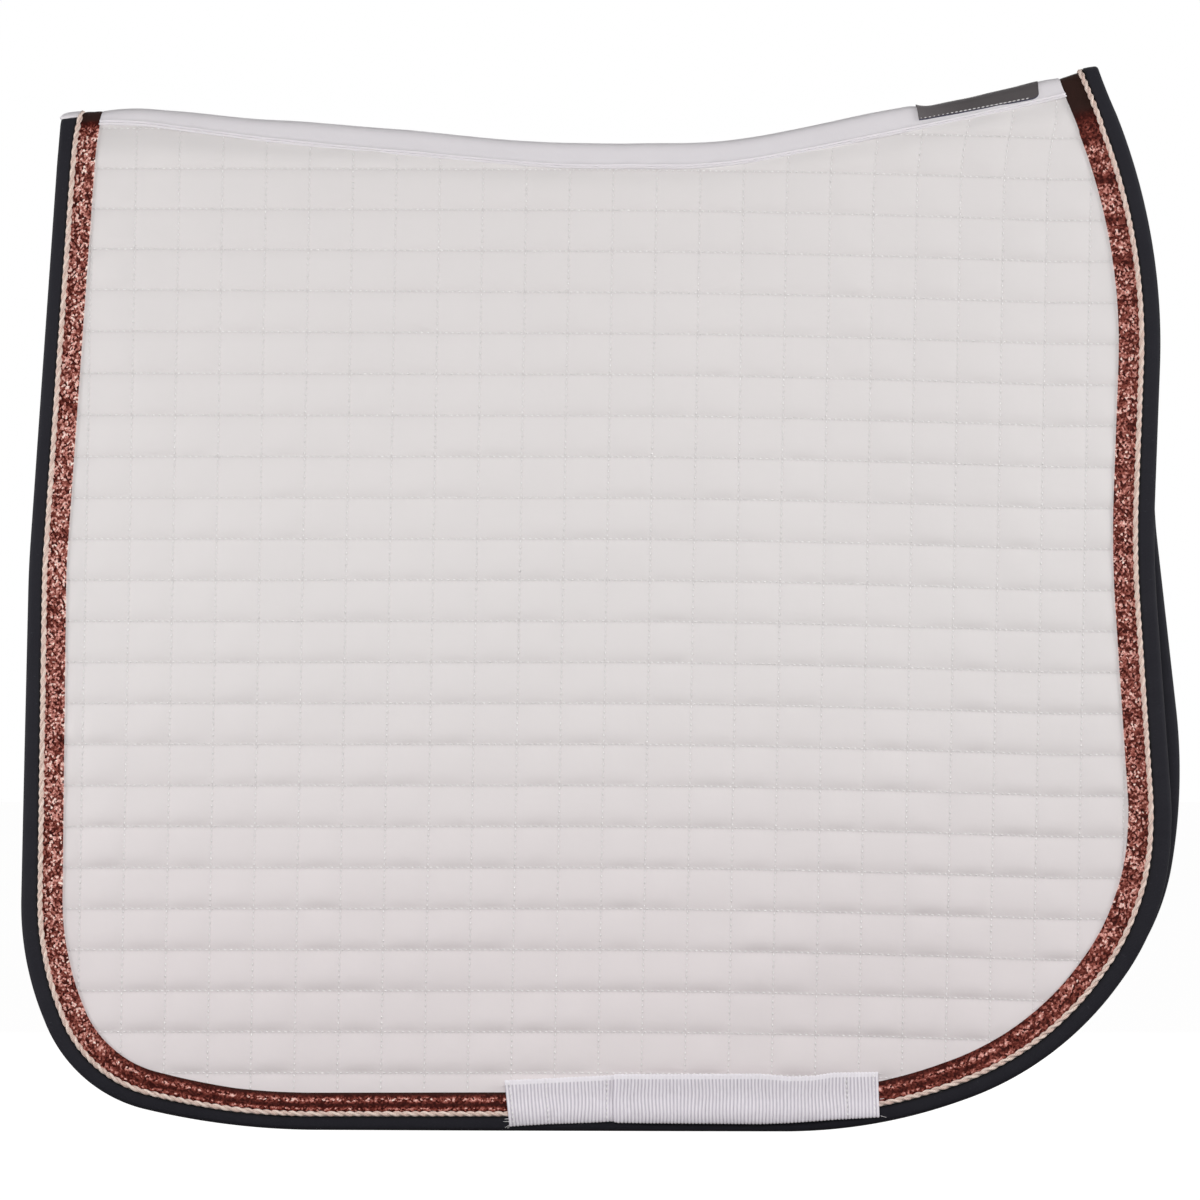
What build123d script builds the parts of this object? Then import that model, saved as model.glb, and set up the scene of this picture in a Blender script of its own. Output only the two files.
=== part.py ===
from build123d import *
import os
from math import acos, atan2, hypot, sin

# A quilted dressage saddle pad, folded over its spine as it hangs on a rail or a horse's back.
# Millimetres. +X is the front (the withers), -Y the near side, +Y the off side, +Z up.
# The origin is the underside of the spine at its lowest point, under the saddle's seat.

# Outline of a flap seen from the side: each corner as (X, Z, radius). It runs from above the
# spine at the rear, down, along the bottom and up the front; the spine cuts its top.
rear_and_bottom = [
    (-310, 120, 0),
    (-336, -245, 610),
    (-341.5, -476, 175),
    (-309, -554, 84),
    (-215, -575, 440),
]
near_front = [
    (160, -575, 305),
    (270, -537, 190),
    (334, -449, 150),
    (336, -387, 190),
    (325, -236, 585),
    (331.5, -52, 365),
    (263.5, 120, 0),
]
# The off flap's front edge bows a few millimetres further forward at the knee.
off_front = [
    (160, -573, 300),
    (272, -541, 190),
    (332.5, -448.5, 140),
    (344.5, -373, 330),
    (326, -208, 280),
    (332, -54, 365),
    (263.5, 120, 0),
]
outline_top = 120

# The ridge line along the top of the spine band, as (X, Z), and the radii of its three bends.
ridge_points = [(-370, 24), (-262, 24), (-30, 4.4), (70, 4.4), (330, 55.8)]
ridge_radii = [300, 600, 300]

# Layers of the quilted panel, from the lining's inner face outwards.
inner_face = 5.0
lining_thickness = 0.8
core_thickness = 6.8
shell_thickness = 0.8
lining_face = inner_face + lining_thickness
core_face = lining_face + core_thickness
shell_face = core_face + shell_thickness

# The tight fold over the ridge: depth of its centre below the ridge line, and the radius of
# each layer there. The layers slope out from the fold to their full thickness at flare_depth.
fold_depth = 6.2
flare_depth = 24
flare_radius = 30
leg_length = 150
tape_radius = 1.8
lining_inner_radius = 2.4
lining_outer_radius = 3.0
core_radius = 5.0
shell_radius = 5.6
band_radius = 6.2

# Trims sewn round the edge, by their distance in from the outline.
binding_width = 9.4
cord_width = 3.1
ribbon_width = 11.5
binding_thickness = 1.0
band_thickness = 0.8
ribbon_thickness = 1.6
ribbon_start = binding_width + cord_width
ribbon_end = ribbon_start + ribbon_width
cord_ridge_rise = 2.6

# Spine band, the seam tape inside it, and the folded label over it.
band_drop = 14.5
tape_drop = 14
tongue_drop = 4
tongue_riser = 1.0
label_thickness = 0.5
label_drop = 10
label_start = 186
label_end = 257

# The flaps bend at the quilting seam nearest the spine.
hinge_z = -35.2
hinge_gap = 0.4

# Girth loop: a strap sewn down at both ends, bowed off the pad between them.
strap_rear = -54.6
strap_front = 165
channel_rear = 10
channel_front = 140
strap_ramp = 12
strap_bow = 5.4
strap_bottom = -570.5
strap_height = 26
strap_thickness = 1.4
strap_bend = 10
strap_face = shell_face + cord_width
seam_places = [-52, -31, 4, 145, 161]
seam_width = 1.2
seam_height = 22
seam_thickness = 0.5

# Blocks that cut pieces to one end, to above or below the hinge, or to both sides of the spine.
reach = 60
block_length = 1000
block_height = 1400


def moved_in(corners, distance):
    """The outline's corners with every side moved inwards; its arcs keep their centres."""
    moved = []
    for index, (x, z, radius) in enumerate(corners):
        before = corners[index - 1]
        after = corners[(index + 1) % len(corners)]
        first = (Vector(x, z) - Vector(before[0], before[1])).normalized()
        second = (Vector(after[0], after[1]) - Vector(x, z)).normalized()
        turn = first.X * second.Y - first.Y * second.X
        miter = distance / (1 + first.dot(second))
        new_x = x - (first.Y + second.Y) * miter
        new_z = z + (first.X + second.X) * miter
        grown = -distance if turn > 0 else distance
        moved.append((new_x, new_z, radius + grown if radius else 0))
    return moved


def inset(corners, distance):
    """Face of a flap's outline, rounded at its corners and moved inwards."""
    moved = moved_in(corners, distance)
    points = [(x, z) for x, z, radius in moved]
    radii = [radius for x, z, radius in moved]
    return Sketch() + Face(Wire(FilletPolyline(*points, radius=radii, close=True).edges()))


def ring(corners, start, end):
    """Strip of the outline between two distances in from its edge."""
    return inset(corners, start) - inset(corners, end)


def level(bottom, top):
    """Wide rectangle between two heights."""
    return Pos(0, (bottom + top) / 2) * Rectangle(block_length, top - bottom)


def slab(face, side, inner, outer):
    """Upright plate of that face, from inner to outer millimetres out on one side of the spine."""
    near, far = sorted((side * inner, side * outer))
    return Pos(0, far, 0) * extrude(Plane.XZ * face, amount=far - near)


def fold(radius, half_width):
    """Section of everything inside one layer's face: a round fold, two slopes and two legs."""
    slope_x = half_width
    slope_y = fold_depth - flare_depth
    reach_to_corner = hypot(slope_x, slope_y)
    lean = atan2(slope_y, slope_x) + acos(radius / reach_to_corner)
    apex = -fold_depth + radius / sin(lean)
    top = FilletPolyline(
        (-half_width, -leg_length),
        (-half_width, -flare_depth),
        (0, apex),
        (half_width, -flare_depth),
        (half_width, -leg_length),
        radius=[flare_radius, radius, flare_radius],
    )
    bottom = Line((half_width, -leg_length), (-half_width, -leg_length))
    return Sketch() + Face(Wire(top.edges() + bottom.edges()))


def draped(outer, inner, drop=leg_length):
    """Layer between two faces of the fold, down to a drop, carried along the ridge."""
    section = fold(*outer) - fold(*inner)
    section = section & (Pos(0, -drop / 2 + reach / 2) * Rectangle(2 * reach, drop + reach))
    ridge = FilletPolyline(*[(x, 0, z) for x, z in ridge_points], radius=ridge_radii)
    start = Plane(origin=ridge @ 0, x_dir=(0, 1, 0), z_dir=ridge % 0)
    return sweep(start * section, path=Wire(ridge.edges()))


def across(face):
    """Block of that face through both sides of the spine."""
    return slab(face, 1, -reach, reach)


near_outline = rear_and_bottom + near_front
off_outline = rear_and_bottom + off_front
above_hinge = level(hinge_z + hinge_gap / 2, outline_top)
below_hinge = level(-block_height / 2, hinge_z - hinge_gap / 2)
rear_half = Pos(-block_length / 4, 0) * Rectangle(block_length / 2, block_height)
front_half = Pos(block_length / 4, 0) * Rectangle(block_length / 2, block_height)

tape_in = (tape_radius, inner_face - lining_inner_radius + tape_radius)
lining_in = (lining_inner_radius, inner_face)
lining_out = (lining_outer_radius, lining_face)
core_out = (core_radius, core_face)
shell_out = (shell_radius, shell_face)
band_out = (band_radius, shell_face + band_thickness)
lip_in = (lining_inner_radius - binding_thickness, inner_face - binding_thickness)
binding_out = (shell_radius + binding_thickness, shell_face + binding_thickness)
ribbon_out = (shell_radius + ribbon_thickness, shell_face + ribbon_thickness)
cord_out = (shell_radius + cord_ridge_rise, shell_face + cord_width)
label_out = (band_radius + label_thickness, shell_face + band_thickness + label_thickness)
tongue_out = (binding_out[0] + band_thickness, binding_out[1] + band_thickness)


def flap(name, side, corners):
    """All pieces of one flap, by node name. Its layers stop inside the wrapped binding."""
    panel = inset(corners, binding_thickness) & below_hinge
    lip = ring(corners, 0, binding_width) & below_hinge
    edge = ring(corners, 0, binding_thickness) & below_hinge
    ribbon = ring(corners, ribbon_start, ribbon_end) & below_hinge
    binding = slab(edge, side, inner_face, shell_face)
    binding += slab(lip, side, shell_face, shell_face + binding_thickness)
    binding += slab(lip, side, inner_face - binding_thickness, inner_face)
    return {
        name + "_outer_shell": slab(panel, side, core_face, shell_face),
        name + "_wadding_core": slab(panel, side, lining_face, core_face),
        name + "_lining": slab(panel, side, inner_face, lining_face),
        name + "_edge_binding": binding,
        name + "_glitter_ribbon": slab(ribbon, side, shell_face, shell_face + ribbon_thickness),
        name + "_twisted_cord": cord(side, corners),
        name + "_girth_strap": girth_strap(side),
        name + "_girth_strap_seams": strap_seams(side),
    }


def cord(side, corners):
    """Round cord along the binding's inner edge, from hinge line to hinge line."""
    line = inset(corners, binding_width + cord_width / 2)
    run = [edge for edge in line.edges() if edge.center().Y < outline_top / 2]
    route = Pos(0, side * (shell_face + cord_width / 2), 0) * (Plane.XZ * Wire(run))
    end = Plane(origin=route @ 0, z_dir=route % 0)
    tube = sweep(end * Circle(cord_width / 2), path=route)
    return tube & slab(below_hinge, side, 0, reach)


def girth_strap(side):
    """Flat strap seen from above as a bowed line, as tall as the webbing is wide."""
    flat = strap_face + strap_thickness / 2
    bowed = flat + strap_bow
    line = FilletPolyline(
        (strap_rear, side * flat),
        (channel_rear, side * flat),
        (channel_rear + strap_ramp, side * bowed),
        (channel_front - strap_ramp, side * bowed),
        (channel_front, side * flat),
        (strap_front, side * flat),
        radius=strap_bend,
    )
    strap = extrude(trace(line, line_width=strap_thickness), amount=strap_height)
    return Pos(0, 0, strap_bottom) * strap


def strap_seams(side):
    """Rows of stitching across the strap's sewn ends, standing just proud of it."""
    middle = strap_face + strap_thickness + seam_thickness / 2
    height = strap_bottom + strap_height / 2
    seams = Part()
    for place in seam_places:
        seams += Pos(place, side * middle, height) * Box(seam_width, seam_thickness, seam_height)
    return seams


def panel_tops(name, side):
    """The three layers of one panel between its hinge line and the middle of the spine."""
    corners = near_outline if side < 0 else off_outline
    panel = slab(inset(corners, binding_thickness) & above_hinge, side, 0, reach)
    return {
        name + "_top_shell": draped(shell_out, core_out) & panel,
        name + "_top_wadding": draped(core_out, lining_out) & panel,
        name + "_top_lining": draped(lining_out, lining_in) & panel,
    }


def crossing_trims(name, half, band):
    """Binding, cord and ribbon where they cross the ridge at one end of the spine."""
    wall = across(ring(near_outline, 0, binding_thickness) & above_hinge & half)
    lip = across(ring(near_outline, 0, binding_width) & above_hinge & half)
    cord_strip = across(ring(near_outline, binding_width, ribbon_start) & above_hinge & half)
    ribbon_strip = across(ring(near_outline, ribbon_start, ribbon_end) & above_hinge & half)
    binding = draped(shell_out, lining_in) & wall
    binding += draped(binding_out, shell_out) & lip
    binding += draped(lining_in, lip_in) & lip
    return {
        name + "_crossing_binding": binding - band,
        name + "_crossing_cord": (draped(cord_out, shell_out) & cord_strip) - band,
        name + "_crossing_ribbon": (draped(ribbon_out, shell_out) & ribbon_strip) - band,
    }


def spine_band():
    """Satin band over the ridge. Its rear end climbs over the binding as a short tongue."""
    inner_edge = inset(near_outline, binding_width)
    riser_strip = ring(near_outline, binding_width, binding_width + tongue_riser) & rear_half
    tongue_strip = ring(near_outline, 0, binding_width + tongue_riser) & rear_half
    band = draped(band_out, shell_out, band_drop) & across(inner_edge)
    band += draped(tongue_out, shell_out, tongue_drop) & across(riser_strip)
    band += draped(tongue_out, binding_out, tongue_drop) & across(tongue_strip)
    return band


def label():
    """Folded woven label over the band near the front."""
    middle = (label_start + label_end) / 2
    strip = Pos(middle, 0) * Rectangle(label_end - label_start, 2 * outline_top)
    return draped(label_out, band_out, label_drop) & across(strip)


def seam_tape():
    """Tape over the seam allowance inside the fold."""
    return draped(lining_in, tape_in, tape_drop) & across(inset(near_outline, binding_width))


band = spine_band()
nodes = {"spine_band": band, "spine_label": label(), "spine_seam_tape": seam_tape()}
nodes.update(panel_tops("near", -1))
nodes.update(panel_tops("off", 1))
nodes.update(crossing_trims("front", front_half, band))
nodes.update(crossing_trims("rear", rear_half, band))
nodes.update(flap("near", -1, near_outline))
nodes.update(flap("off", 1, off_outline))

os.makedirs("parts", exist_ok=True)
for node, shape in nodes.items():
    export_step(shape, f"parts/{node}.step")
    print(node, len(shape.solids()), round(shape.volume))
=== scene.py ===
from math import pi, radians
import bpy
import numpy as np
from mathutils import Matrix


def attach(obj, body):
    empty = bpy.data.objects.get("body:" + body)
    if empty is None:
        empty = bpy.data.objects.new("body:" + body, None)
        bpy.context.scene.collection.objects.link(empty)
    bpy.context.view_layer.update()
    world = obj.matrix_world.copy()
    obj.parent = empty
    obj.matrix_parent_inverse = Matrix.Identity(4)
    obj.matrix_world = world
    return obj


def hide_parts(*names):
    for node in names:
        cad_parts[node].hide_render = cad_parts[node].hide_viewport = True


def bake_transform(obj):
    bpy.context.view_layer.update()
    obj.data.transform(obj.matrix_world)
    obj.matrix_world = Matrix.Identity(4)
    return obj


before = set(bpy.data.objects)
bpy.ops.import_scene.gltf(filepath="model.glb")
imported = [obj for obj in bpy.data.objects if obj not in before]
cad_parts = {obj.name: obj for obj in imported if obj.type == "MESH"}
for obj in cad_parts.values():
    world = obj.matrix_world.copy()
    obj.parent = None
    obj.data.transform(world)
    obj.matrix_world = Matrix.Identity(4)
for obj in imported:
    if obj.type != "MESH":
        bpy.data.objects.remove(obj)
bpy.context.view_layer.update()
mm = 0.001
print("frame loaded:", len(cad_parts), "nodes")


# Finishes: node maths written as sums

def mathsOperator(operation, swapped=False):
    # an operator of Signal: its Math node, with the two sides swapped where the signal stands on the right
    def apply(signal, other):
        return signal.maths(operation, *((other, signal) if swapped else (signal, other)))
    return apply


class Signal:
    # one output of a node; + - * and / with numbers or other signals add the Math nodes
    def __init__(self, finish, socket):
        self.finish = finish
        self.socket = socket

    def maths(self, operation, first, second=0.0):
        return self.finish.node("Math", {"operation": operation}, {0: first, 1: second})

    __add__ = __radd__ = mathsOperator("ADD")
    __sub__ = mathsOperator("SUBTRACT")
    __rsub__ = mathsOperator("SUBTRACT", swapped=True)
    __mul__ = __rmul__ = mathsOperator("MULTIPLY")
    __truediv__ = mathsOperator("DIVIDE")
    __rtruediv__ = mathsOperator("DIVIDE", swapped=True)

    def sine(self):
        return self.maths("SINE", self)

    def remainder(self):
        return self.maths("FRACT", self)

    def size(self):
        return self.maths("ABSOLUTE", self)


class Finish:
    # a material; fixed values and patterns are joined to its shader's inputs by name
    def __init__(self, name, **fixed):
        self.material = bpy.data.materials.new(name)
        self.material.use_nodes = True
        self.tree = self.material.node_tree
        self.shader = self.tree.nodes["Principled BSDF"]
        self.paint(**fixed)

    def join(self, socket, value):
        if isinstance(value, Signal):
            self.tree.links.new(value.socket, socket)
        else:
            colour = isinstance(value, tuple) and socket.type == "RGBA"
            socket.default_value = (*value, 1) if colour else value

    def node(self, kind, settings=None, inputs=None, output=0):
        made = self.tree.nodes.new("ShaderNode" + kind)
        for key, value in (settings or {}).items():
            if key == "stops":
                while len(made.color_ramp.elements) < len(value):
                    made.color_ramp.elements.new(0.5)
                for element, (place, colour) in zip(made.color_ramp.elements, value):
                    element.position = place
                    element.color = (*colour, 1)
            else:
                setattr(made, key, value)
        for key, value in (inputs or {}).items():
            self.join(made.inputs[key], value)
        return Signal(self, made.outputs[output])

    def mix(self, factor, first, second):
        return self.node("Mix", {"data_type": "RGBA"}, {0: factor, 6: first, 7: second}, 2)

    def between(self, value, low, high, start=0.0, end=1.0):
        # smooth step from start to end as value goes from low to high
        settings = {"interpolation_type": "SMOOTHSTEP"}
        return self.node("MapRange", settings, {0: value, 1: low, 2: high, 3: start, 4: end})

    def cloth(self):
        # the piece's own flat coordinates in millimetres: along and across
        flat = self.node("UVMap", {"uv_map": "cloth"})
        along = self.node("SeparateXYZ", {}, {0: flat})
        return flat, along, Signal(self, along.socket.node.outputs[1])

    def noise(self, where, size, detail=2.0, roughness=0.5):
        # soft noise whose lumps are about size across
        inputs = {"Vector": where, "Scale": 1 / size, "Detail": detail, "Roughness": roughness}
        return self.node("TexNoise", {}, inputs)

    def bump(self, height, depth, normal=None):
        inputs = {"Height": height, "Distance": depth}
        if normal:
            inputs["Normal"] = normal
        return self.node("Bump", {}, inputs)

    def weave(self, along, across, pitch):
        # plain weave: threads rise where two sines agree
        return 0.5 + 0.5 * (along * (2 * pi / pitch)).sine() * (across * (2 * pi / pitch)).sine()

    def paint(self, **patterns):
        for key, value in patterns.items():
            self.join(self.shader.inputs[key.replace("_", " ")], value)
        return self.material


# Numbers shared by every mesh

def ease(value, low, high):
    # smooth step: 0 below low, 1 above high, 3t^2 - 2t^3 between
    t = np.clip((value - low) / (high - low), 0, 1)
    return t * t * (3 - 2 * t)


def bell(value, width):
    # bell curve: 1 at 0, e^-(value / width)^2 away from it
    return np.exp(-(value / width) ** 2)


def through(points, x, unit=mm, softness=0):
    # value at x of straight runs through points, each given as x in mm and a value in units. It is averaged
    # with the values that lie softness to either side
    places, values = np.array(points, float).T
    return sum(np.interp(x + shift, places * mm, values * unit) for shift in (-softness, 0, softness)) / 3


def ripple(a, b, length, seed, waves=9):
    # soft unevenness of about unit height: a sum of sines in random directions, lengths near `length`
    pick = np.random.default_rng(seed)
    turn = pick.uniform(0, 2 * pi, waves)
    size = length * pick.uniform(0.6, 1.7, waves)
    shift = pick.uniform(0, 2 * pi, waves)
    total = 0
    for angle, wave, start in zip(turn, size, shift):
        total = total + np.sin(2 * pi * (a * np.cos(angle) + b * np.sin(angle)) / wave + start)
    return total / np.sqrt(waves / 2)


def placed(name, data):
    # new object in the scene
    made = bpy.data.objects.new(name, data)
    bpy.context.scene.collection.objects.link(made)
    return made


def meshPiece(name, shape, finishes, sharp=50):
    # one piece, facing outwards: points (n, 3), faces (m, 3 or 4), their finishes and flat coordinates in mm
    points, faces, flat, slots = shape["points"], shape["faces"], shape["flat"], shape.get("slots")
    corners = points[faces]
    normals = np.cross(corners[:, 2] - corners[:, 0], corners[:, -1] - corners[:, 1])
    if np.sum(normals * (corners.mean(1) - points.mean(0))) < 0:
        faces, flat = faces[:, ::-1], flat[:, ::-1]
    mesh = bpy.data.meshes.new(name)
    mesh.vertices.add(len(points))
    mesh.vertices.foreach_set("co", np.ascontiguousarray(points, np.float32).ravel())
    mesh.loops.add(faces.size)
    mesh.loops.foreach_set("vertex_index", np.ascontiguousarray(faces, np.int32).ravel())
    mesh.polygons.add(len(faces))
    mesh.polygons.foreach_set("loop_start", np.arange(0, faces.size, faces.shape[1], dtype=np.int32))
    layer = mesh.uv_layers.new(name="cloth")
    layer.data.foreach_set("uv", np.ascontiguousarray(flat, np.float32).ravel())
    if slots is not None:
        mesh.polygons.foreach_set("material_index", np.ascontiguousarray(slots, np.int32))
    # the painted glint strength of each point, where the glitter is painted as catching or missing the light
    if "shine" in shape:
        shine = mesh.attributes.new("shine", "FLOAT", "POINT")
        shine.data.foreach_set("value", shape["shine"].astype(np.float32))
    mesh.polygons.foreach_set("use_smooth", np.ones(len(faces), bool))
    mesh.update(calc_edges=True)
    mesh.validate()
    mesh.set_sharp_from_angle(angle=radians(sharp))
    for finish in finishes:
        mesh.materials.append(finish)
    piece = placed(name, mesh)
    return piece


def together(shapes):
    # several shapes as one, their points numbered on from each other
    starts = np.cumsum([0] + [len(shape["points"]) for shape in shapes[:-1]])
    joined = {key: np.concatenate([shape[key] for shape in shapes]) for key in shapes[0] if key != "faces"}
    joined["faces"] = np.concatenate([shape["faces"] + start for shape, start in zip(shapes, starts)])
    return joined


def carried(rings, along, around):
    # a closed profile (m points) carried along a path (n rings) and capped at both ends.
    # rings is (n, m, 3), along (n,) and around (m + 1,) are its flat coordinates in mm
    n, m = rings.shape[:2]
    i, j = np.meshgrid(np.arange(n - 1), np.arange(m), indexing="ij")
    turns = ((0, 0), (0, 1), (1, 1), (1, 0))
    walls = np.stack([(i + a) * m + (j + b) % m for a, b in turns], -1).reshape(-1, 4)
    wallFlat = np.stack([np.stack([along[i + a], around[j + b]], -1) for a, b in turns], -2).reshape(-1, 4, 2)
    k = np.arange(m // 2 - 1)
    cap = np.stack([k, k + 1, m - 2 - k, m - 1 - k], -1)
    capFlat = np.stack([np.zeros(cap.shape), around[cap]], -1)
    faces = np.concatenate([walls, cap[:, ::-1], cap + (n - 1) * m])
    flat = np.concatenate([wallFlat, capFlat[:, ::-1], capFlat])
    return dict(points=rings.reshape(-1, 3), faces=faces, flat=flat)


def ringed(front, back):
    # closed profiles: out along each row of front and home along the same row of back
    return np.concatenate([front, back[:, ::-1]], axis=1)


def roundTrip(row):
    # flat coordinate round such a profile, back to its first value
    return np.concatenate([row, row[::-1], row[:1]])


# The shape that the whole pad hangs in

drape = dict(
    ridgeStart=24 * mm,  # height of the ridge at the rear, over the seat's lowest point
    ridgeBends=[(-262 * mm, 12.7 * mm, -0.0845), (-30 * mm, 25.3 * mm, 0.0845), (70 * mm, 29.4 * mm, 0.1977)],
    bandThickness=0.8 * mm,
    rearDip=4.6 * mm,  # the rear end nods down, from nodStart on backwards
    nodStart=-262 * mm,
    nodLength=55 * mm,
    foldRadius=5.6 * mm,
    lean=radians(22.5),
    slopeLength=15.5 * mm,
    flareRadius=30 * mm,
    depths=[3.2 * mm, 3.4 * mm, 8.4 * mm],  # of the pad: at the ridge, at the fold's end and on a flap
    sway=0.7 * mm,  # slow unevenness of the hanging cloth
    crest=[  # unevenness of the ridge, x and rise in mm: low under the label
        (-308, 0), (-292, 0.9), (-282, 1.6), (-270, 1.4), (-254, 0.3), (-200, -0.1), (-150, 1.2), (-110, 1.1),
        (-60, 0.2), (-10, 0.6), (15, 0), (60, 0.2), (100, -0.5), (130, 0.1), (184, 0.3), (191, -2.6),
        (216, -2.7), (238, -1.8), (258, -0.6), (266, -0.8), (271, -1.4), (276, -1.1), (284, 0.1),
    ],
    crestSoftness=3 * mm,
    crestReach=9 * mm,
)
arcLength = drape["foldRadius"] * (pi / 2 - drape["lean"])
slopeEnd = arcLength + drape["slopeLength"]
flareEnd = slopeEnd + drape["flareRadius"] * drape["lean"]
downTable = np.linspace(0, 0.75, 3001)
angles = [pi / 2, drape["lean"], drape["lean"], 0]
angleTable = np.interp(downTable, [0, arcLength, slopeEnd, flareEnd], angles)


def summed(values):
    # running total of a table by the trapezium rule
    steps = (values[1:] + values[:-1]) / 2 * np.diff(downTable)
    return np.concatenate([[0], np.cumsum(steps)])


outTable = summed(np.sin(angleTable))
dropTable = summed(np.cos(angleTable))


def ridgeHeight(x):
    # straight runs joined by parabolas: each bend adds its change of slope times the distance past it
    height = drape["ridgeStart"] + 0 * x
    for place, reach, change in drape["ridgeBends"]:
        u = np.clip((x - place + reach) / (2 * reach), 0, 1)
        height = height + change * (reach * u * u + np.maximum(x - place - reach, 0))
    nod = np.clip((drape["nodStart"] - x) / drape["nodLength"], 0, 1)
    return height - drape["rearDip"] * nod ** 1.6 - drape["bandThickness"]


def downCloth(x, z):
    # distance down the cloth from the ridge to the height z
    return np.interp(ridgeHeight(x) - z, dropTable, downTable)


def heightAt(x, down):
    # height of the cloth at that distance down from the ridge
    return ridgeHeight(x) - np.interp(np.abs(down), downTable, dropTable)


def crest(x, far):
    # rise of the ridge over its even line, fading down both sides as a bell curve
    rise = through(drape["crest"], x, softness=drape["crestSoftness"])
    return rise * bell(far, drape["crestReach"])


def cloth(x, down, lift):
    # point on the folded cloth: down is measured from the ridge, negative on the near side, and lift is
    # outwards along the cloth's normal, which turns from straight up at the ridge to level on the flap
    far, way = np.abs(down), np.sign(down)
    angle = np.interp(far, downTable, angleTable)
    sway = drape["sway"] * ripple(x, far, 0.19, 11) * ease(far, 30 * mm, 120 * mm)
    out = np.interp(far, downTable, outTable) + (lift + sway) * np.cos(angle)
    up = ridgeHeight(x) - np.interp(far, downTable, dropTable) + crest(x, far) + lift * np.sin(angle)
    return np.stack(np.broadcast_arrays(x, way * out, up), -1)


def thickness(down):
    # depth of the pad from outer to lining face, thin in the fold and full below it
    return np.interp(np.abs(down), [0, arcLength, flareEnd], drape["depths"])


outline = dict(  # corners of a flap's edge: x, z and radius in mm
    rear=[(-310, 120, 0), (-335.6, -245, 610), (-340.8, -476, 175), (-309, -553.7, 84), (-215, -575.4, 440)],
    near=[
        (160, -576.6, 305), (270, -538.2, 190), (334, -449.5, 150), (336, -387, 190), (325, -236, 585),
        (331.8, -52, 365), (265.2, 120, 0),
    ],
    off=[
        (160, -574.5, 300), (272, -541, 190), (332.5, -448.5, 140), (344.5, -373, 330), (326, -208, 280),
        (332, -54, 365), (265.2, 120, 0),
    ],
    # how far the binding and the ribbon reach in from the edge at each corner, in mm
    bindingWidth=[8.2, 8.2, 10.2, 9.2, 8.0, 9.6, 10.0, 11.4, 10.8, 10.0, 9.8, 9.3],
    ribbonEnd=[22.4, 22.3, 25.0, 24.4, 21.8, 24.0, 25.4, 26.8, 25.5, 24.6, 24.8, 24.2],
    rearSpread=3.2 * mm,  # both widths grow towards the ridge at the rear
    spreadReach=9 * mm,
    foldSpacing=0.8 * mm,  # samples close up where the edge goes over the fold
    foldZone=12 * mm,
)
flaps = (("near", -1, outline["rear"] + outline["near"]), ("off", 1, outline["rear"] + outline["off"]))


def edgeLine(corners, spacing):
    # a flap's edge as arrays, from the ridge at the rear, down, along the bottom and up to the ridge at the
    # front. Straight sides join round corners, so the heading turns evenly along each corner, and a place is
    # the running sum of its cosine and sine. The inward normal is the heading turned left. The two end sides
    # climb to the ridge: climb says how far up them a sample is, from 0 to 1, and corner counts the corners
    x, z, radius = np.array(corners, float).T * mm
    sides = np.hypot(np.diff(x), np.diff(z))
    headings = np.unwrap(np.arctan2(np.diff(z), np.diff(x)))
    turns = np.diff(headings)
    cuts = radius[1:-1] * np.tan(np.abs(turns) / 2)
    sides[:-1] -= cuts
    sides[1:] -= cuts
    knots = np.cumsum(np.column_stack([sides[:-1], radius[1:-1] * np.abs(turns)]).ravel())
    knotHeadings = np.repeat(headings, 2)[1:len(knots) + 1]
    run = np.linspace(knots[0], knots[-1], 4001)
    step = run[1] - run[0]
    halfway = np.interp((run[1:] + run[:-1]) / 2, knots, knotHeadings)

    def travelled(start, wave):
        return start + sides[0] * wave(headings[0]) + step * np.concatenate([[0], np.cumsum(wave(halfway))])

    runX, runZ = travelled(x[0], np.cos), travelled(z[0], np.sin)
    at = np.linspace(run[0], run[-1], int((run[-1] - run[0]) / spacing))
    corner = np.interp(at, knots.reshape(-1, 2).mean(1), np.arange(1, len(x) - 1))

    def climbing(end):
        length = downCloth(runX[end], runZ[end])
        fold = np.arange(0, outline["foldZone"], outline["foldSpacing"])
        return 1 - np.append(fold, np.arange(outline["foldZone"], length, spacing)) / length

    rear, front = climbing(0), climbing(-1)[::-1]

    def whole(first, middle, last):
        return np.concatenate([0 * rear + first, middle, 0 * front + last])[:, None]

    line = dict(
        x=whole(runX[0], np.interp(at, run, runX), runX[-1]),
        z=whole(runZ[0], np.interp(at, run, runZ), runZ[-1]),
        heading=whole(headings[0], np.interp(at, knots, knotHeadings), headings[-1]),
        climb=np.concatenate([rear, 0 * at, front])[:, None],
        corner=whole(1, corner, len(x) - 1),
    )
    line["inX"], line["inZ"] = -np.sin(line["heading"]), np.cos(line["heading"])
    return line


def upSide(lowX, lowZ, slope, down):
    # x on a straight side through (lowX, lowZ), where the cloth is that far down from the ridge
    x = lowX + 0 * down
    for turn in range(6):
        x = lowX + (heightAt(x, down) - lowZ) * slope
    return x


def inward(line, inset):
    # x, and distance down the cloth, of the points that lie inset inside the edge. On the two end sides they
    # keep to their straight line, while the distance down shrinks evenly to nothing at the ridge
    lowX, lowZ = line["x"] + inset * line["inX"], line["z"] + inset * line["inZ"]
    down = downCloth(lowX, lowZ) * (1 - line["climb"])
    slope = np.where(line["climb"] > 0, 1 / np.tan(np.where(line["climb"] > 0, line["heading"], 1)), 0)
    return upSide(lowX, lowZ, slope, down), down


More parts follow.
